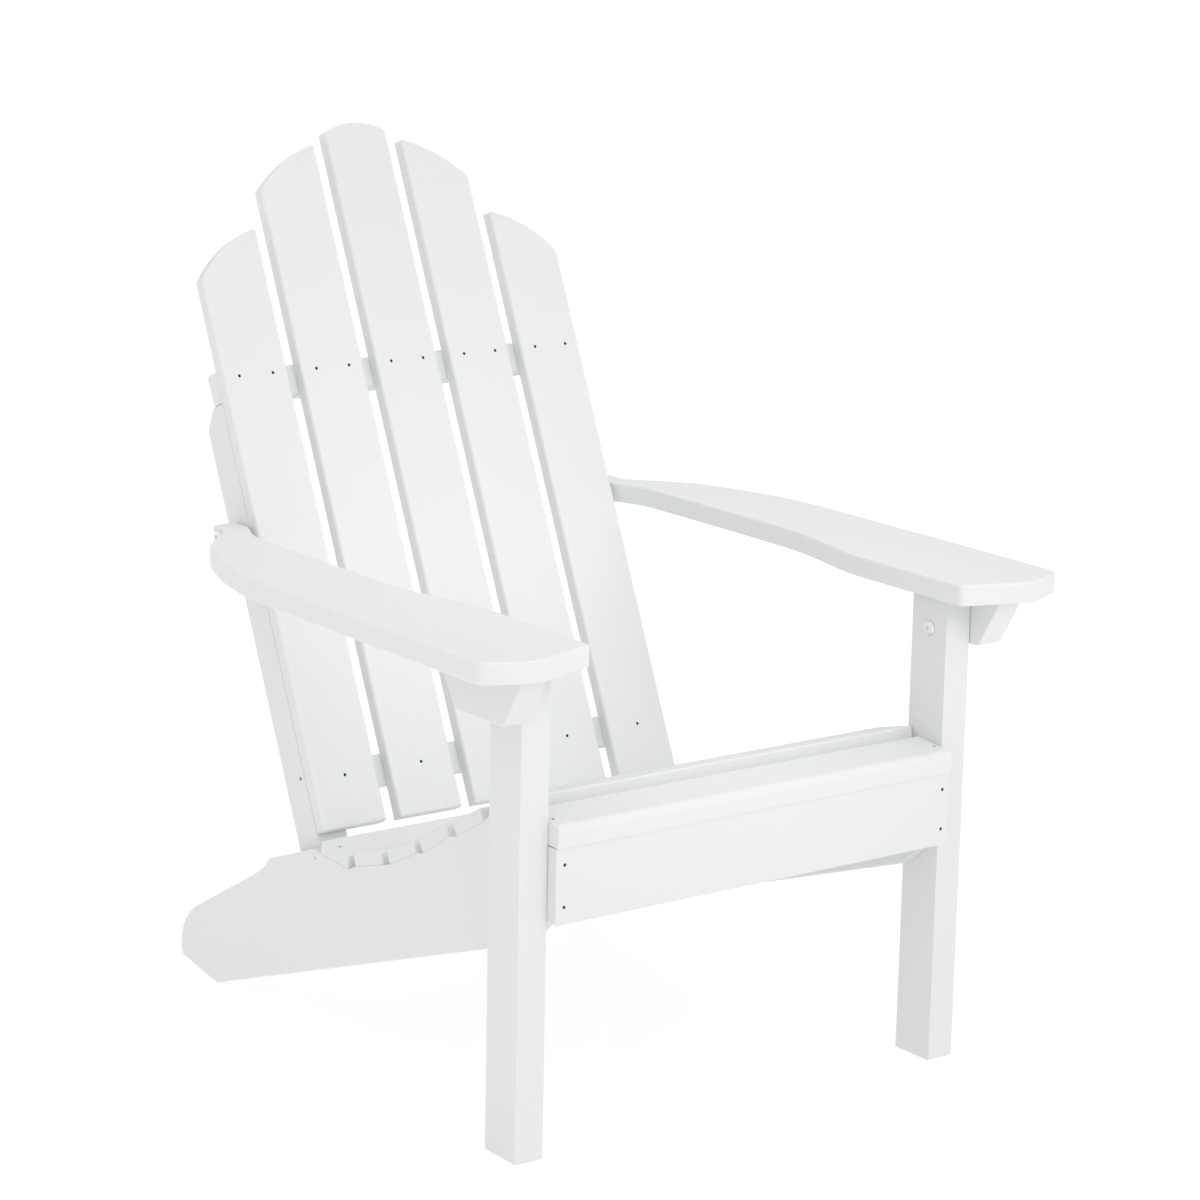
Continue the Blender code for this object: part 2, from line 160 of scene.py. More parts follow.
def lumber_material():
    """White plastic lumber: an embossed, brushed wood grain, faintly mottled, a little polished on worn edges."""
    mat, tree, shader = new_material("white_plastic_lumber")
    link = tree.links.new
    grain = node(tree, "ShaderNodeAttribute", attribute_name="grain")
    edge = node(tree, "ShaderNodeAttribute", attribute_name="edge")
    tint = node(tree, "ShaderNodeAttribute", attribute_name="tint")

    def streaks(across, along, detail, rough, distortion=0.0):
        mapping = node(tree, "ShaderNodeMapping")
        mapping.inputs["Scale"].default_value = (across, across, along)
        link(grain.outputs["Vector"], mapping.inputs["Vector"])
        noise = node(tree, "ShaderNodeTexNoise")
        noise.inputs["Scale"].default_value = 1.0
        noise.inputs["Detail"].default_value = detail
        noise.inputs["Roughness"].default_value = rough
        noise.inputs["Distortion"].default_value = distortion
        link(mapping.outputs["Vector"], noise.inputs["Vector"])
        return noise.outputs["Fac"]

    def maths(operation, a, b):
        made = node(tree, "ShaderNodeMath", operation=operation)
        for socket, value in zip(made.inputs, (a, b)):
            if isinstance(value, (int, float)):
                socket.default_value = value
            else:
                link(value, socket)
        return made.outputs[0]

    def ramp(source, low, high, out_low=0.0, out_high=1.0):
        made = node(tree, "ShaderNodeMapRange")
        for key, value in (("From Min", low), ("From Max", high), ("To Min", out_low), ("To Max", out_high)):
            made.inputs[key].default_value = value
        link(source, made.inputs["Value"])
        return made.outputs["Result"]

    fine = streaks(900.0, 14.0, 4.0, 0.6)          # hairline brushing
    pores = streaks(420.0, 9.0, 3.0, 0.55, 0.3)    # short embossed grooves
    broad = streaks(70.0, 2.2, 3.0, 0.5, 0.6)      # cathedral-like bands of grain
    cloudy = streaks(9.0, 5.0, 2.0, 0.5)           # slow mottling of the plastic
    grooves = ramp(pores, 0.56, 0.66)
    depth = maths("MULTIPLY", grooves, ramp(broad, 0.38, 0.62, 0.25, 1.0))

    mix = node(tree, "ShaderNodeMix", data_type="RGBA")
    mix.inputs["A"].default_value = (0.772, 0.783, 0.785, 1.0)
    mix.inputs["B"].default_value = (0.706, 0.719, 0.723, 1.0)
    link(maths("MULTIPLY", depth, 0.8), mix.inputs["Factor"])
    soft = node(tree, "ShaderNodeMix", data_type="RGBA", blend_type="MULTIPLY")
    soft.inputs["Factor"].default_value = 1.0
    link(mix.outputs["Result"], soft.inputs["A"])
    value = maths("MULTIPLY", ramp(cloudy, 0.3, 0.7, 0.975, 1.012), ramp(broad, 0.3, 0.7, 0.966, 1.018))
    value = maths("MULTIPLY", value, ramp(fine, 0.3, 0.7, 0.962, 1.024))
    value = maths("MULTIPLY", value, ramp(tint.outputs["Fac"], 0.0, 1.0, 0.985, 1.01))
    grey = node(tree, "ShaderNodeCombineColor")
    for channel in ("Red", "Green", "Blue"):
        link(value, grey.inputs[channel])
    link(grey.outputs["Color"], soft.inputs["B"])
    worn = node(tree, "ShaderNodeMix", data_type="RGBA")
    worn.inputs["B"].default_value = (0.806, 0.812, 0.812, 1.0)
    link(soft.outputs["Result"], worn.inputs["A"])
    wear = maths("MULTIPLY", edge.outputs["Fac"], ramp(cloudy, 0.4, 0.65, 0.1, 0.7))
    link(wear, worn.inputs["Factor"])
    link(worn.outputs["Result"], shader.inputs["Base Color"])

    rough = maths("ADD", ramp(fine, 0.3, 0.7, 0.46, 0.58), maths("MULTIPLY", depth, 0.10))
    link(maths("SUBTRACT", rough, maths("MULTIPLY", wear, 0.10)), shader.inputs["Roughness"])
    height = maths("ADD", maths("MULTIPLY", depth, -0.8), maths("MULTIPLY", fine, 0.35))
    height = maths("ADD", height, maths("MULTIPLY", broad, 0.5))
    bump = node(tree, "ShaderNodeBump")
    bump.inputs["Strength"].default_value = 0.9
    bump.inputs["Distance"].default_value = 0.0004
    link(height, bump.inputs["Height"])
    link(bump.outputs["Normal"], shader.inputs["Normal"])
    shader.inputs["IOR"].default_value = 1.49
    shader.inputs["Specular IOR Level"].default_value = 0.42
    return mat


def metal_material(name, dark, light, roughness, metallic):
    """Turned metal, its colour, roughness and surface varied by a fine noise."""
    mat, tree, shader = new_material(name)
    link = tree.links.new
    grain = node(tree, "ShaderNodeAttribute", attribute_name="grain")
    wave = node(tree, "ShaderNodeTexNoise")
    wave.inputs["Scale"].default_value = 1400.0
    wave.inputs["Detail"].default_value = 3.0
    link(grain.outputs["Vector"], wave.inputs["Vector"])
    mix = node(tree, "ShaderNodeMix", data_type="RGBA")
    mix.inputs["A"].default_value = dark
    mix.inputs["B"].default_value = light
    link(wave.outputs["Fac"], mix.inputs["Factor"])
    link(mix.outputs["Result"], shader.inputs["Base Color"])
    ranges = node(tree, "ShaderNodeMapRange")
    ranges.inputs["To Min"].default_value = roughness - 0.06
    ranges.inputs["To Max"].default_value = roughness + 0.08
    link(wave.outputs["Fac"], ranges.inputs["Value"])
    link(ranges.outputs["Result"], shader.inputs["Roughness"])
    bump = node(tree, "ShaderNodeBump")
    bump.inputs["Strength"].default_value = 0.25
    bump.inputs["Distance"].default_value = 0.00003
    link(wave.outputs["Fac"], bump.inputs["Height"])
    link(bump.outputs["Normal"], shader.inputs["Normal"])
    shader.inputs["Metallic"].default_value = metallic
    return mat


LUMBER = lumber_material()
STEEL = metal_material("stainless_steel", (0.78, 0.78, 0.77, 1), (0.90, 0.90, 0.89, 1), 0.30, 1.0)
# near-black screw heads: partly the screws' own dark colour, partly painted shade standing in for the dark inside of
# the holes they sit in
DARK = metal_material("dark_screw_painted_hole_shade", (0.012, 0.012, 0.013, 1), (0.035, 0.034, 0.034, 1), 0.42, 0.4)


# ------------------------------------------------------------------ mesh tools
def keep(obj, nodes):
    """Rides the chair's one body, and stands for the CAD nodes."""
    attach(obj, "root")
    if nodes:
        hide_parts(*nodes)
    return obj


def evaluated(obj):
    bpy.context.view_layer.update()
    deps = bpy.context.evaluated_depsgraph_get()
    return bpy.data.meshes.new_from_object(obj.evaluated_get(deps))


def scratch(name, mesh):
    obj = bpy.data.objects.new(name, mesh)
    bpy.context.scene.collection.objects.link(obj)
    return obj


def remove(obj):
    mesh = obj.data
    bpy.data.objects.remove(obj, do_unlink=True)
    if mesh.users == 0:
        bpy.data.meshes.remove(mesh)


def tag_attributes(mesh, axis, worn_index, tint):
    """grain: the board's own coordinates with its length along Z, shifted for each board; edge: 1 on worn roundings."""
    length = Vector(axis).normalized()
    side = length.orthogonal().normalized()
    if abs(length.x) > 0.99:
        side = Vector((0, 1, 0))
    elif abs(length.y) > 0.99:
        side = Vector((1, 0, 0))
    elif abs(length.z) > 0.99:
        side = Vector((1, 0, 0))
    third = length.cross(side)
    shift = Vector((random.uniform(0, 9), random.uniform(0, 9), random.uniform(0, 9)))
    grain = mesh.attributes.new("grain", "FLOAT_VECTOR", "POINT")
    edge = mesh.attributes.new("edge", "FLOAT", "POINT")
    shade = mesh.attributes.new("tint", "FLOAT", "POINT")
    plain = set()
    for poly in mesh.polygons:
        if poly.material_index != worn_index:
            plain.update(poly.vertices)
    for v in mesh.vertices:
        grain.data[v.index].vector = Vector((v.co @ side, v.co @ third, v.co @ length)) + shift
        edge.data[v.index].value = 0.0 if v.index in plain else 1.0
        shade.data[v.index].value = tint
    for poly in mesh.polygons:
        poly.material_index = 0


def finish_board(name, bm, matrix, axis, holes=(), width=ROUND, steps=ROUND_STEPS, nodes=None, tight=None, angle=30.0):
    """Rounds a board, cuts its fastener holes, smooths it and puts it in its place.

    tight(a, b) gets the two ends of an edge, in the board's own design units, and
    says how much smaller than width that edge's rounding is (None: not smaller)."""
    weights = bm.edges.layers.float.new("bevel_weight_edge")
    for edge in bm.edges:
        if len(edge.link_faces) == 2 and edge.calc_face_angle() > math.radians(angle):
            share = tight(edge.verts[0].co / UNIT, edge.verts[1].co / UNIT) if tight else None
            edge[weights] = 1.0 if share is None else share
    mesh = bpy.data.meshes.new(name)
    bm.to_mesh(mesh)
    bm.free()
    mesh.materials.append(LUMBER)
    mesh.materials.append(LUMBER)
    mesh.transform(matrix)
    board = scratch(name + "_raw", mesh)
    # the new faces take the second slot, so that the roundings can be worn
    mod = board.modifiers.new("rounding", "BEVEL")
    mod.limit_method = "WEIGHT"
    mod.width = width * UNIT
    mod.segments = steps
    mod.use_clamp_overlap = False
    mod.material = 1
    for hole in holes:
        mod = board.modifiers.new("bore", "BOOLEAN")
        mod.operation = "DIFFERENCE"
        mod.solver = "EXACT"
        mod.object = hole
    cut = evaluated(board)
    remove(board)
    cut.name = name
    cut.transform(matrix.inverted())
    tag_attributes(cut, axis, 1, random.random())
    cut.materials.clear()
    cut.materials.append(LUMBER)
    cut.shade_smooth()
    cut.set_sharp_from_angle(angle=math.radians(38))
    cut.transform(matrix)
    rough = scratch(name + "_cut", cut)
    mod = rough.modifiers.new("flat_faces", "WEIGHTED_NORMAL")
    mod.mode = "FACE_AREA"
    mod.weight = 80
    mod.keep_sharp = True
    final = evaluated(rough)
    remove(rough)
    final.name = name
    obj = scratch(name + "_board", final)
    return keep(obj, nodes if nodes is not None else [name])


def box_bm(low, high):
    bm = bmesh.new()
    bmesh.ops.create_cube(bm, size=1.0)
    size = [(b - a) * UNIT for a, b in zip(low, high)]
    middle = [(a + b) / 2 * UNIT for a, b in zip(low, high)]
    bmesh.ops.scale(bm, vec=size, verts=bm.verts)
    bmesh.ops.translate(bm, vec=middle, verts=bm.verts)
    return bm


def outline_bm(points, thickness):
    bm = bmesh.new()
    verts = [bm.verts.new((u * UNIT, v * UNIT, -thickness * UNIT / 2)) for u, v in points]
    face = bm.faces.new(verts)
    made = bmesh.ops.extrude_face_region(bm, geom=[face])
    lifted = [g for g in made["geom"] if isinstance(g, bmesh.types.BMVert)]
    bmesh.ops.translate(bm, vec=(0, 0, thickness * UNIT), verts=lifted)
    bmesh.ops.recalc_face_normals(bm, faces=bm.faces)
    return bm


def arc3(a, b, c, count):
    """Points on the circle through three points, from a to c."""
    ax, ay = a
    bx, by = b
    cx, cy = c
    d = 2 * (ax * (by - cy) + bx * (cy - ay) + cx * (ay - by))
    ux = ((ax**2 + ay**2) * (by - cy) + (bx**2 + by**2) * (cy - ay) + (cx**2 + cy**2) * (ay - by)) / d
    uy = ((ax**2 + ay**2) * (cx - bx) + (bx**2 + by**2) * (ax - cx) + (cx**2 + cy**2) * (bx - ax)) / d
    r = math.hypot(ax - ux, ay - uy)
    t0 = math.atan2(ay - uy, ax - ux)
    t1 = math.atan2(cy - uy, cx - ux)
    tb = math.atan2(by - uy, bx - ux)
    turn = 2 * math.pi
    forward = (t1 - t0) % turn
    if (tb - t0) % turn > forward:
        forward -= turn
    return [(ux + r * math.cos(t0 + forward * i / count), uy + r * math.sin(t0 + forward * i / count))
            for i in range(count + 1)]


def smooth(points, steps):
    ext = [points[0]] + list(points) + [points[-1]]
    out = []
    for i in range(1, len(ext) - 2):
        p0, p1, p2, p3 = (Vector(ext[i + k]) for k in (-1, 0, 1, 2))
        for k in range(steps):
            t = k / steps
            out.append(tuple(0.5 * ((2 * p1) + (p2 - p0) * t + (2 * p0 - 5 * p1 + 4 * p2 - p3) * t * t
                                    + (3 * p1 - p0 - 3 * p2 + p3) * t**3)))
    out.append(tuple(points[-1]))
    return out


def lathe(profile, steps):
    """A closed solid turned about Z from a profile of (radius, height), top to foot; radius 0 closes an end."""
    bm = bmesh.new()
    rings = []
    for r, z in profile:
        if r == 0:
            rings.append([bm.verts.new((0, 0, z * UNIT))])
        else:
            rings.append([bm.verts.new((r * UNIT * math.cos(2 * math.pi * k / steps),
                                        r * UNIT * math.sin(2 * math.pi * k / steps), z * UNIT)) for k in range(steps)])
    for one, two in zip(rings, rings[1:]):
        for k in range(steps):
            n = (k + 1) % steps
            corners = [one[k % len(one)], one[n % len(one)], two[n % len(two)], two[k % len(two)]]
            unique = []
            for v in corners:
                if v not in unique:
                    unique.append(v)
            bm.faces.new(unique)
    bmesh.ops.recalc_face_normals(bm, faces=bm.faces)
    return bm


def socket_bm(sides, radius, low, high, star=0.0):
    """A prism of a hexagon or of a six-pointed star, for a drive recess."""
    count = sides * 2 if star else sides
    points = []
    for k in range(count):
        r = radius * (1.0 - star if star and k % 2 else 1.0)
        a = 2 * math.pi * k / count
        points.append((r * math.cos(a), r * math.sin(a)))
    bm = outline_bm(points, high - low)
    bmesh.ops.translate(bm, vec=(0, 0, (high + low) / 2 * UNIT), verts=bm.verts)
    return bm


def pointing(direction):
    return Vector(direction).to_track_quat("Z", "Y").to_matrix().to_4x4()


def from_bm(name, bm, matrix=None):
    mesh = bpy.data.meshes.new(name)
    bm.to_mesh(mesh)
    bm.free()
    if matrix is not None:
        mesh.transform(matrix)
    return scratch(name, mesh)


HOLES = {}
FASTENERS = []


def fastener(name, parent, head_at, outward, length, boards, bolt=False, nodes=None):
    """Records a fastener and the bores that it needs; it is made after the boards are."""
    matrix = at(parent, head_at, pointing(outward))
    if bolt:
        s = BOLT_SHANK_R
        bore = [(0, 4.0), (s + GAP, 4.0), (s + GAP, -length - GAP), (0, -length - GAP)]
        steps = 20
    else:
        r, s = SCREW_HEAD_R, SCREW_SHANK_R
        bore = [(0, 3.0), (r + 0.7, 3.0), (r + 0.12, -0.4), (r + GAP, -1.6), (s + GAP, -3.0),
                (s + GAP, -length - GAP), (0, -length - GAP)]
        steps = 20
    tool = from_bm("bore_" + name, lathe(bore, steps), matrix)
    tool.hide_render = True
    for board in boards:
        HOLES.setdefault(board, []).append(tool)
    FASTENERS.append((name, matrix, length, bolt, nodes if nodes is not None else [name], tool))


def make_fastener(name, matrix, length, bolt, nodes):
    if bolt:
        r, h, s = BOLT_HEAD_R, BOLT_HEAD_H, BOLT_SHANK_R
        profile = [(0, h), (r - 2.9, h), (r - 2.2, h - 0.12), (r - 1.2, h - 0.5), (r - 0.45, h * 0.55), (r - 0.1, 0.95),
                   (r, 0.75), (r, GAP + 0.15), (r - 0.15, GAP), (s + 0.4, GAP), (s, GAP - 0.4), (s, -length + 1.2),
                   (s - 0.8, -length), (0, -length)]
        body = from_bm(name + "_solid", lathe(profile, 40))
        tool = from_bm(name + "_hex", socket_bm(6, 3.3, h - 1.7, h + 1.0))
        material = STEEL
    else:
        r, s = SCREW_HEAD_R, SCREW_SHANK_R
        profile = [(0, -0.45), (r - 0.6, -0.45), (r - 0.2, -0.52), (r, -0.7), (r, -1.2), (s, -2.6), (s, -length + 5.0),
                   (0.4, -length + 0.1), (0, -length)]
        body = from_bm(name + "_solid", lathe(profile, 28))
        tool = from_bm(name + "_star", socket_bm(6, 1.1, -1.5, 1.0, star=0.28))
        # all screws but the seat rail's take the near-black colour, which is partly painted shade of their holes
        material = STEEL if "seat_rail" in name else DARK
    mod = body.modifiers.new("drive", "BOOLEAN")
    mod.operation = "DIFFERENCE"
    mod.solver = "EXACT"
    mod.object = tool
    mesh = evaluated(body)
    remove(body)
    remove(tool)
    bm = bmesh.new()
    bm.from_mesh(mesh)
    bmesh.ops.remove_doubles(bm, verts=bm.verts, dist=0.000002)
    bmesh.ops.dissolve_degenerate(bm, edges=bm.edges, dist=0.000002)
    bm.to_mesh(mesh)
    bm.free()
    mesh.name = name
    mesh.materials.clear()
    tag_attributes(mesh, (0, 0, 1), 5, 0.5)
    mesh.materials.append(material)
    mesh.transform(matrix)
    mesh.shade_smooth()
    mesh.set_sharp_from_angle(angle=math.radians(32))
    obj = scratch(name + "_metal", mesh)
    return keep(obj, nodes)


# ------------------------------------------------------------------ fasteners first, so the boards know their bores
for i in range(5):
    x = (i - 2) * SLAT_PITCH
    for tag, dx in (("a", -UPPER_SCREW_OFFSET), ("b", UPPER_SCREW_OFFSET)):
        fastener(f"upper_slat_screw_{i + 1}{tag}", BACK, (x + dx, 0, UPPER_SCREW_S), (0, -1, 0), 33.0,
                 [f"back_slat_{i + 1}", "upper_back_rail"])
    fastener(f"lower_slat_screw_{i + 1}", BACK, (x, 0, LOWER_SCREW_S), (0, -1, 0), 33.0,
             [f"back_slat_{i + 1}", "lower_back_rail"])

for word, side in (("left", -1), ("right", 1)):
    for tag, z in (("low", 285.0), ("high", 331.5)):
        fastener(f"apron_screw_{word}_{tag}", CHAIR, (side * 263.0, -GAP - APRON_THICK, z), (0, -1, 0), 38.0,
                 ["front_apron", f"side_stringer_{word}"])
    fastener(f"cleat_bolt_{word}", CHAIR, (side * LEG_INNER_X, 29.0, 508.8), (-side, 0, 0), 60.0,
             [f"front_leg_{word}", f"arm_cleat_{word}"], bolt=True)
    fastener(f"arm_bolt_{word}", CHAIR, (side * ARM_TAIL_X, 646.0, 562.0), (side, 0, 0), 50.0,
             [f"arm_{word}", f"back_stile_{word}"], bolt=True)
    for tag, z in (("low", 272.0), ("high", 330.0)):
        fastener(f"leg_bolt_{word}_{tag}", CHAIR, (side * STRINGER_INNER_X, 29.0, z), (-side, 0, 0), 44.0,
                 [f"side_stringer_{word}", f"front_leg_{word}"], bolt=True)
    fastener(f"stile_screw_{word}", BACK, (side * STILE_OUTER_X, 26.0, LOWER_RAIL_S + 6.5), (side, 0, 0), 60.0,
             [f"back_stile_{word}", "lower_back_rail"])
    fastener(f"seat_rail_screw_{word}", CHAIR, (side * STRINGER_OUTER_X, 456.4, 216.7), (side, 0, 0), 50.0,
             [f"side_stringer_{word}", "rear_seat_rail"])
    fastener(f"stile_bolt_{word}", BACK, (side * (STILE_OUTER_X - STILE_THICK), 40.0, -42.0), (-side, 0, 0), 50.0,
             [f"back_stile_{word}", f"side_stringer_{word}"], bolt=True)
    # one screw through each end of each seat slat into the stringer below it
    for i, (y, z, tilt, width) in enumerate(SEAT_SLATS):
        turn = Matrix.Rotation(-math.radians(tilt), 3, "X")
        along = -6.5 if i == 6 else 0.0
        head = Vector((side * 265.4, y, z)) + turn @ Vector((0, along, FRONT_SLAT_THICK if i == 6 else SEAT_THICK))
        fastener(f"seat_screw_{i + 1}_{word}", CHAIR, head, turn @ Vector((0, 0, 1)), 30.0,
                 [f"seat_slat_{i + 1}", f"side_stringer_{word}"], nodes=[])

# ------------------------------------------------------------------ back
tops = [tuple(reversed(TOP_OUTER)), tuple(reversed(TOP_MIDDLE)), TOP_CENTRE, TOP_MIDDLE, TOP_OUTER]
for i, (a, b, c) in enumerate(tops):
    x = (i - 2) * SLAT_PITCH
    left, right = x - SLAT_WIDTH / 2, x + SLAT_WIDTH / 2
    points = [(right, 0.0)] + arc3((right, c), (x, b), (left, a), 28) + [(left, 0.0)]
    name = f"back_slat_{i + 1}"
    finish_board(name, outline_bm(points, SLAT_THICK), at(BACK, (0, SLAT_THICK / 2, 0), UPRIGHT), (0, 1, 0), HOLES[name],
                 width=SLAT_ROUND, steps=6, tight=lambda a, b: SHARP / SLAT_ROUND if a.z < 0 and b.z < 0 else None)

BEHIND = SLAT_THICK + GAP
half_back = 2 * SLAT_PITCH + SLAT_WIDTH / 2
rail_end = STILE_OUTER_X - STILE_THICK - GAP
for name, half, s in (("upper_back_rail", half_back, UPPER_RAIL_S), ("lower_back_rail", rail_end, LOWER_RAIL_S)):
    bm = box_bm((-half, BEHIND - GAP + BEARING, s - RAIL_HEIGHT / 2), (half, BEHIND + RAIL_THICK, s + RAIL_HEIGHT / 2))
    finish_board(name, bm, BACK, (1, 0, 0), HOLES[name])

stile_top = UPPER_RAIL_S - RAIL_HEIGHT / 2 - GAP
far = BEHIND + STILE_DEPTH
for word, side in (("left", -1), ("right", 1)):
    near = BEHIND - GAP + BEARING
    points = [(near, STILE_BOTTOM), (far, STILE_BOTTOM), (far, stile_top - STILE_TOP_CLIP),
              (far - STILE_TOP_CLIP, stile_top), (near, stile_top)]
    name = f"back_stile_{word}"
    finish_board(name, outline_bm(points, STILE_THICK), at(BACK, (side * (STILE_OUTER_X - STILE_THICK / 2), 0, 0), SIDEWAYS),
                 (0, 1, 0), HOLES[name],
                 tight=lambda a, b: SHARP / ROUND if a.x < BEHIND + 1 and b.x < BEHIND + 1 else None)


# ------------------------------------------------------------------ stringers
def seat_flat(slat):
    y, z, tilt, width = slat
    half = width / 2 + 1.5
    run, rise = math.cos(math.radians(tilt)), math.sin(math.radians(tilt))
    return [(y - half * run, z - BEARING + half * rise), (y + half * run, z - BEARING - half * rise)]


def meet(one, two):
    z1, y1, m1 = one
    z2, y2, m2 = two
    y = (z2 - m2 * y2 - z1 + m1 * y1) / (m1 - m2)
    return y, z1 + m1 * (y - y1)


seat_top = [point for slat in reversed(SEAT_SLATS) for point in seat_flat(slat)]
y, z, tilt, _ = SEAT_SLATS[-1]
seat_top[0] = (0.0, z - BEARING + y * math.tan(math.radians(tilt)))
y, z, tilt, _ = SEAT_SLATS[0]
seat_top[-1] = meet((z - BEARING, y, -math.tan(math.radians(tilt))), (REAR_TOP_POINT[1], REAR_TOP_POINT[0], REAR_TOP_SLOPE))
step_y = 553.0
step_z = REAR_TOP_POINT[1] + REAR_TOP_SLOPE * (step_y - REAR_TOP_POINT[0])
ogee = arc3((step_y, step_z), (561.5, 187.8), (567.0, 181.0), 6) + arc3((569.5, 178.2), (582.0, 168.9), (600.0, 157.5), 6)
heel = arc3((723.0, 88.3), (755.0, 62.0), (766.2, 35.0), 14) + [(766.0, 20.5), (763.0, STRINGER_HEEL_LIFT)]
low_front = (STRINGER_HEEL_Y - STRINGER_CLIP) * STRINGER_FALL
stringer_outline = (seat_top + ogee + heel + [(STRINGER_HEEL_Y, 0.0), (STRINGER_CLIP, low_front),
                                              (0.0, STRINGER_CLIP_TOP)])

touch_x = STILE_OUTER_X + GAP
front = smooth([(ARM_INNER_X, ARM_CORNER_Y), (255.6, -41.6), (262.0, -46.0), (290.0, -55.5), (320.0, -65.8),
                (336.0, ARM_FRONT_Y), (352.0, -65.6), (371.0, -58.0), (389.0, -49.0), (395.2, -43.5)], 6)
outer = smooth([(ARM_OUTER_X, ARM_CORNER_Y + 3.0), (ARM_OUTER_X, 120.0), (ARM_OUTER_X, 300.0), (395.6, 400.0),
                (388.0, 450.0), (374.6, 500.0), (355.3, 550.0), (344.0, 571.0), (328.0, 588.5), (306.0, 612.0),
                (289.0, 629.0)], 6)
tail = [(ARM_TAIL_X, 634.0), (ARM_TAIL_X, ARM_TAIL_Y), (touch_x, ARM_TAIL_Y), (touch_x, 631.0)]
inner = smooth([(263.0, 617.0), (270.0, 601.0), (275.0, 588.0), (279.0, 568.0), (280.3, 530.0), (280.5, 460.0),
                (280.3, 390.0), (279.5, 310.0), (276.5, 262.0), (268.0, 215.0), (258.0, 168.0), (254.3, 130.0),
                (ARM_INNER_X, 60.0)], 6)
arm_outline = front + outer + tail + inner

for word, side in (("left", -1), ("right", 1)):
    thick = STRINGER_OUTER_X - STRINGER_INNER_X
    name = f"side_stringer_{word}"
    finish_board(name, outline_bm(stringer_outline, thick),
                 at(CHAIR, (side * (STRINGER_INNER_X + thick / 2), 0, 0), SIDEWAYS), (1, -STRINGER_FALL, 0), HOLES[name],
                 width=2.6, tight=lambda a, b: CRISP / 2.6 if max(a.x, b.x) < 470 and min(a.y, b.y) > 223 else None)
    xs = sorted((side * LEG_INNER_X, side * LEG_OUTER_X))
    name = f"front_leg_{word}"
    finish_board(name, box_bm((xs[0], 0, 0), (xs[1], LEG_DEPTH, LEG_TOP)), CHAIR, (0, 0, 1), HOLES[name],
                 width=2.0, tight=lambda a, b: CRISP / 2.0 if min(a.z, b.z) > 500 or max(abs(a.x), abs(b.x)) < LEG_INNER_X + 1 else None)
    top, bottom, middle = CLEAT_TOP_HALF, CLEAT_BOTTOM_HALF, CLEAT_MIDDLE_Y
    points = [(middle - top, LEG_TOP), (middle - bottom, CLEAT_BOTTOM + 3.0), (middle - bottom + 5.0, CLEAT_BOTTOM),
              (middle + bottom - 5.0, CLEAT_BOTTOM), (middle + bottom, CLEAT_BOTTOM + 3.0), (middle + top, LEG_TOP)]
    name = f"arm_cleat_{word}"
    finish_board(name, outline_bm(points, CLEAT_THICK),
                 at(CHAIR, (side * (LEG_OUTER_X + GAP + CLEAT_THICK / 2), 0, 0), SIDEWAYS), (1, 0, 0), HOLES[name],
                 width=2.2, tight=lambda a, b: CRISP / 2.2 if a.y > 540 and b.y > 540 else None)
    name = f"arm_{word}"
    points = [(side * x, y) for x, y in arm_outline]
    if side < 0:
        points.reverse()
    finish_board(name, outline_bm(points, ARM_THICK), at(CHAIR, (0, 0, ARM_BOTTOM + ARM_THICK / 2)), (0, 1, 0),
                 HOLES[name])

# ------------------------------------------------------------------ seat and apron
def slat_edges(index, thick):
    """The front slat has a rounded nose; every slat's underside and ends are crisp where they bear on the stringers."""
    def tight(a, b):
        if index == 6:
            if a.y < 0 and b.y < 0 and abs(a.x - b.x) > 1:
                return None if a.z > 0 else CRISP / FRONT_SLAT_NOSE
            return (ROUND if a.z > 0 and b.z > 0 else CRISP) / FRONT_SLAT_NOSE
        return CRISP / ROUND if a.z < 0 and b.z < 0 else None
    return tight


for i, (y, z, tilt, width) in enumerate(SEAT_SLATS):
    name = f"seat_slat_{i + 1}"
    turn = Matrix.Rotation(-math.radians(tilt), 4, "X")
    thick = FRONT_SLAT_THICK if i == 6 else SEAT_THICK
    middle = Vector((0, y, z)) + turn.to_3x3() @ Vector((0, 0, thick / 2))
    bm = box_bm((-SEAT_HALF_LENGTH, -width / 2, -thick / 2), (SEAT_HALF_LENGTH, width / 2, thick / 2))
    finish_board(name, bm, at(CHAIR, middle, turn), (1, 0, 0), HOLES[name], width=FRONT_SLAT_NOSE if i == 6 else ROUND,
                 steps=8 if i == 6 else ROUND_STEPS, tight=slat_edges(i, thick))
finish_board("front_apron", box_bm((-APRON_HALF_LENGTH, -GAP - APRON_THICK, APRON_BOTTOM),
                                   (APRON_HALF_LENGTH, -GAP, APRON_TOP)), CHAIR, (1, 0, 0), HOLES["front_apron"],
             width=2.4, tight=lambda a, b: CRISP / 2.4 if min(a.z, b.z) > 300 or min(a.y, b.y) > -2 else None)
finish_board("rear_seat_rail", box_bm((-STRINGER_INNER_X + GAP, SEAT_RAIL_FRONT, SEAT_RAIL_BOTTOM),
                                      (STRINGER_INNER_X - GAP, SEAT_RAIL_FRONT + SEAT_RAIL_THICK, SEAT_RAIL_TOP)),
             CHAIR, (1, 0, 0), HOLES["rear_seat_rail"])

for name, matrix, length, bolt, nodes, tool in FASTENERS:
    make_fastener(name, matrix, length, bolt, nodes)
for entry in FASTENERS:
    remove(entry[5])

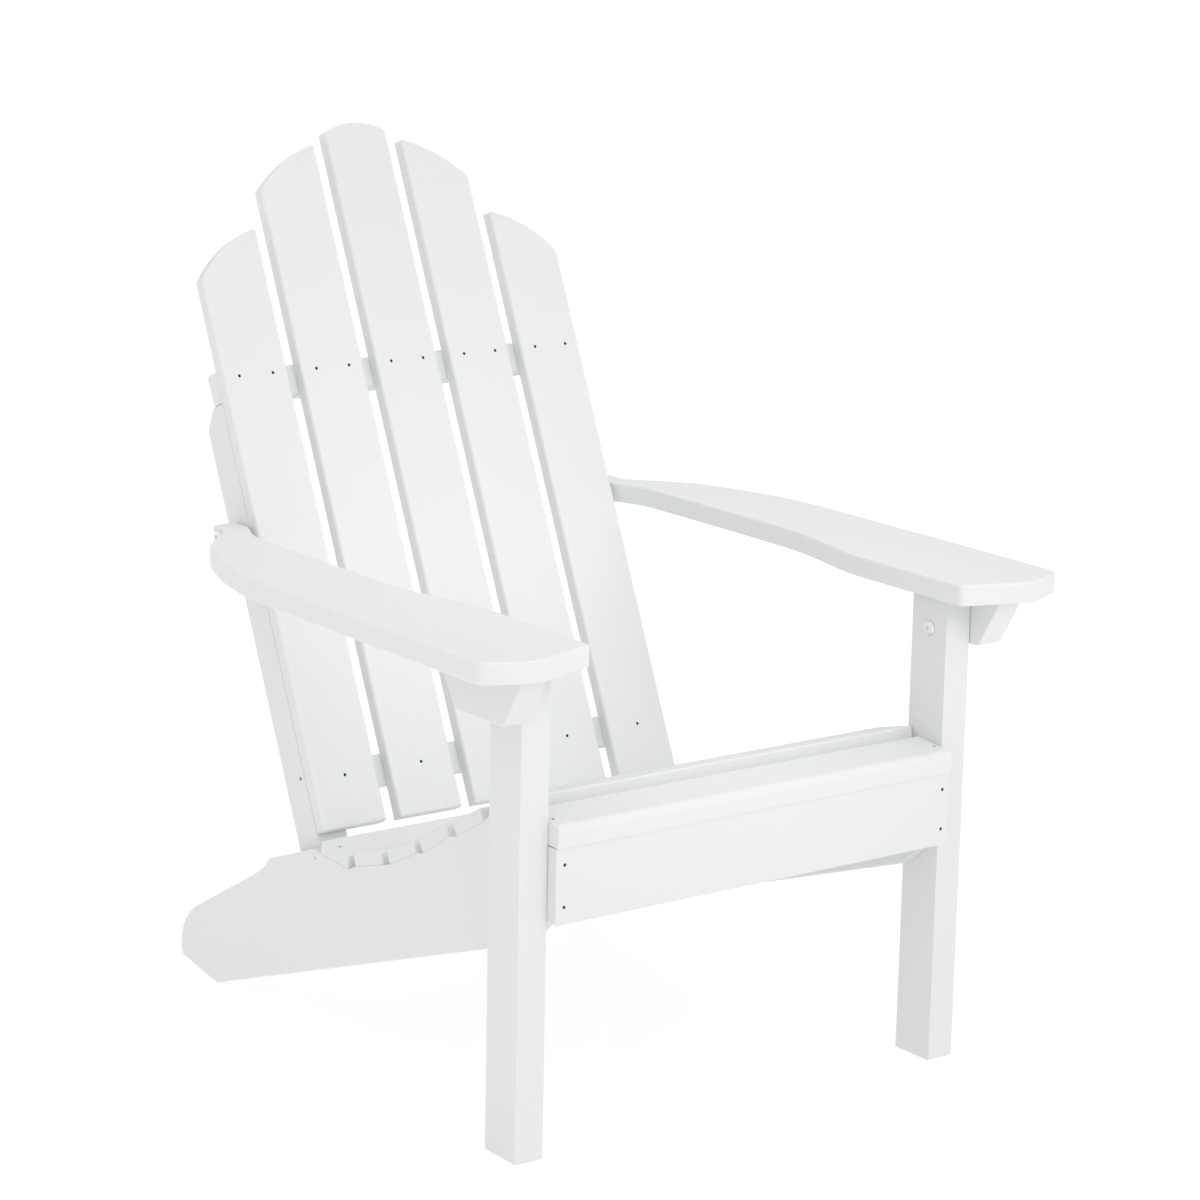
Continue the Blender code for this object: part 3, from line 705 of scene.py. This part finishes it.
# ------------------------------------------------------------------ floor, light, camera
floor_mat, tree, shader = new_material("pale_floor")
shader.inputs["Base Color"].default_value = (0.38, 0.38, 0.38, 1)
shader.inputs["Emission Color"].default_value = (1, 1, 1, 1)
shader.inputs["Emission Strength"].default_value = 0.69
shader.inputs["Roughness"].default_value = 0.9
shader.inputs["Specular IOR Level"].default_value = 0.1
bm = bmesh.new()
bmesh.ops.create_grid(bm, x_segments=1, y_segments=1, size=150.0)
bmesh.ops.translate(bm, vec=(0, 0, -0.0006), verts=bm.verts)
floor = from_bm("studio_floor", bm)
floor.data.materials.append(floor_mat)

world = bpy.data.worlds.new("studio")
bpy.context.scene.world = world
world.use_nodes = True
background = next(n for n in world.node_tree.nodes if n.type == "BACKGROUND")
background.inputs["Color"].default_value = (1, 1, 1, 1)
background.inputs["Strength"].default_value = 0.775


def area(name, location, target, size, watts):
    light = bpy.data.lights.new(name, "AREA")
    light.shape = "RECTANGLE"
    light.size, light.size_y = size
    light.energy = watts
    obj = bpy.data.objects.new(name, light)
    bpy.context.scene.collection.objects.link(obj)
    obj.location = location
    obj.rotation_euler = (Vector(target) - Vector(location)).to_track_quat("-Z", "Y").to_euler()
    return obj


area("key_softbox", (0.4, -3.6, 2.6), (0, 0, 0.4), (2.6, 2.0), 23.5)
area("side_card", (-1.5, -0.9, 0.55), (-0.28, -0.35, 0.42), (0.5, 0.9), 0.65)
overhead = bpy.data.lights.new("overhead_diffuser", "SUN")
overhead.energy = 0.68
overhead.angle = math.radians(120)
lamp = bpy.data.objects.new("overhead_diffuser", overhead)
lamp.location = (0, 0, 3)
bpy.context.scene.collection.objects.link(lamp)

spot = bpy.data.lights.new("seat_fill", "SPOT")
spot.energy = 78.0
spot.spot_size = math.radians(15.6)
spot.spot_blend = 1.0
spot.shadow_soft_size = 0.35
fill = bpy.data.objects.new("seat_fill", spot)
fill.location = (0.05, -2.25, 1.75)
fill.rotation_euler = (Vector((0.0, 0.16, 0.42)) - fill.location).to_track_quat("-Z", "Y").to_euler()
bpy.context.scene.collection.objects.link(fill)

YAW, PITCH, ROLL = math.radians(36.655), math.radians(-13.300), math.radians(1.176)
forward = Vector((math.sin(YAW) * math.cos(PITCH), math.cos(YAW) * math.cos(PITCH), math.sin(PITCH)))
right0 = Vector((math.cos(YAW), -math.sin(YAW), 0))
up0 = right0.cross(forward)
right = math.cos(ROLL) * right0 + math.sin(ROLL) * up0
up = -math.sin(ROLL) * right0 + math.cos(ROLL) * up0
cam = bpy.data.cameras.new("camera")
cam.sensor_width = 36.0
cam.lens = 3708.459 * 36.0 / 1200.0
cam.clip_end = 100.0
camera = bpy.data.objects.new("camera", cam)
bpy.context.scene.collection.objects.link(camera)
place = Matrix((right, up, -forward)).transposed().to_4x4()
place.translation = Vector((-2455.353, -3014.310 - ORIGIN_Y, 1495.315)) * UNIT
camera.matrix_world = place
bpy.context.scene.camera = camera
bpy.context.scene.view_settings.view_transform = "Standard"
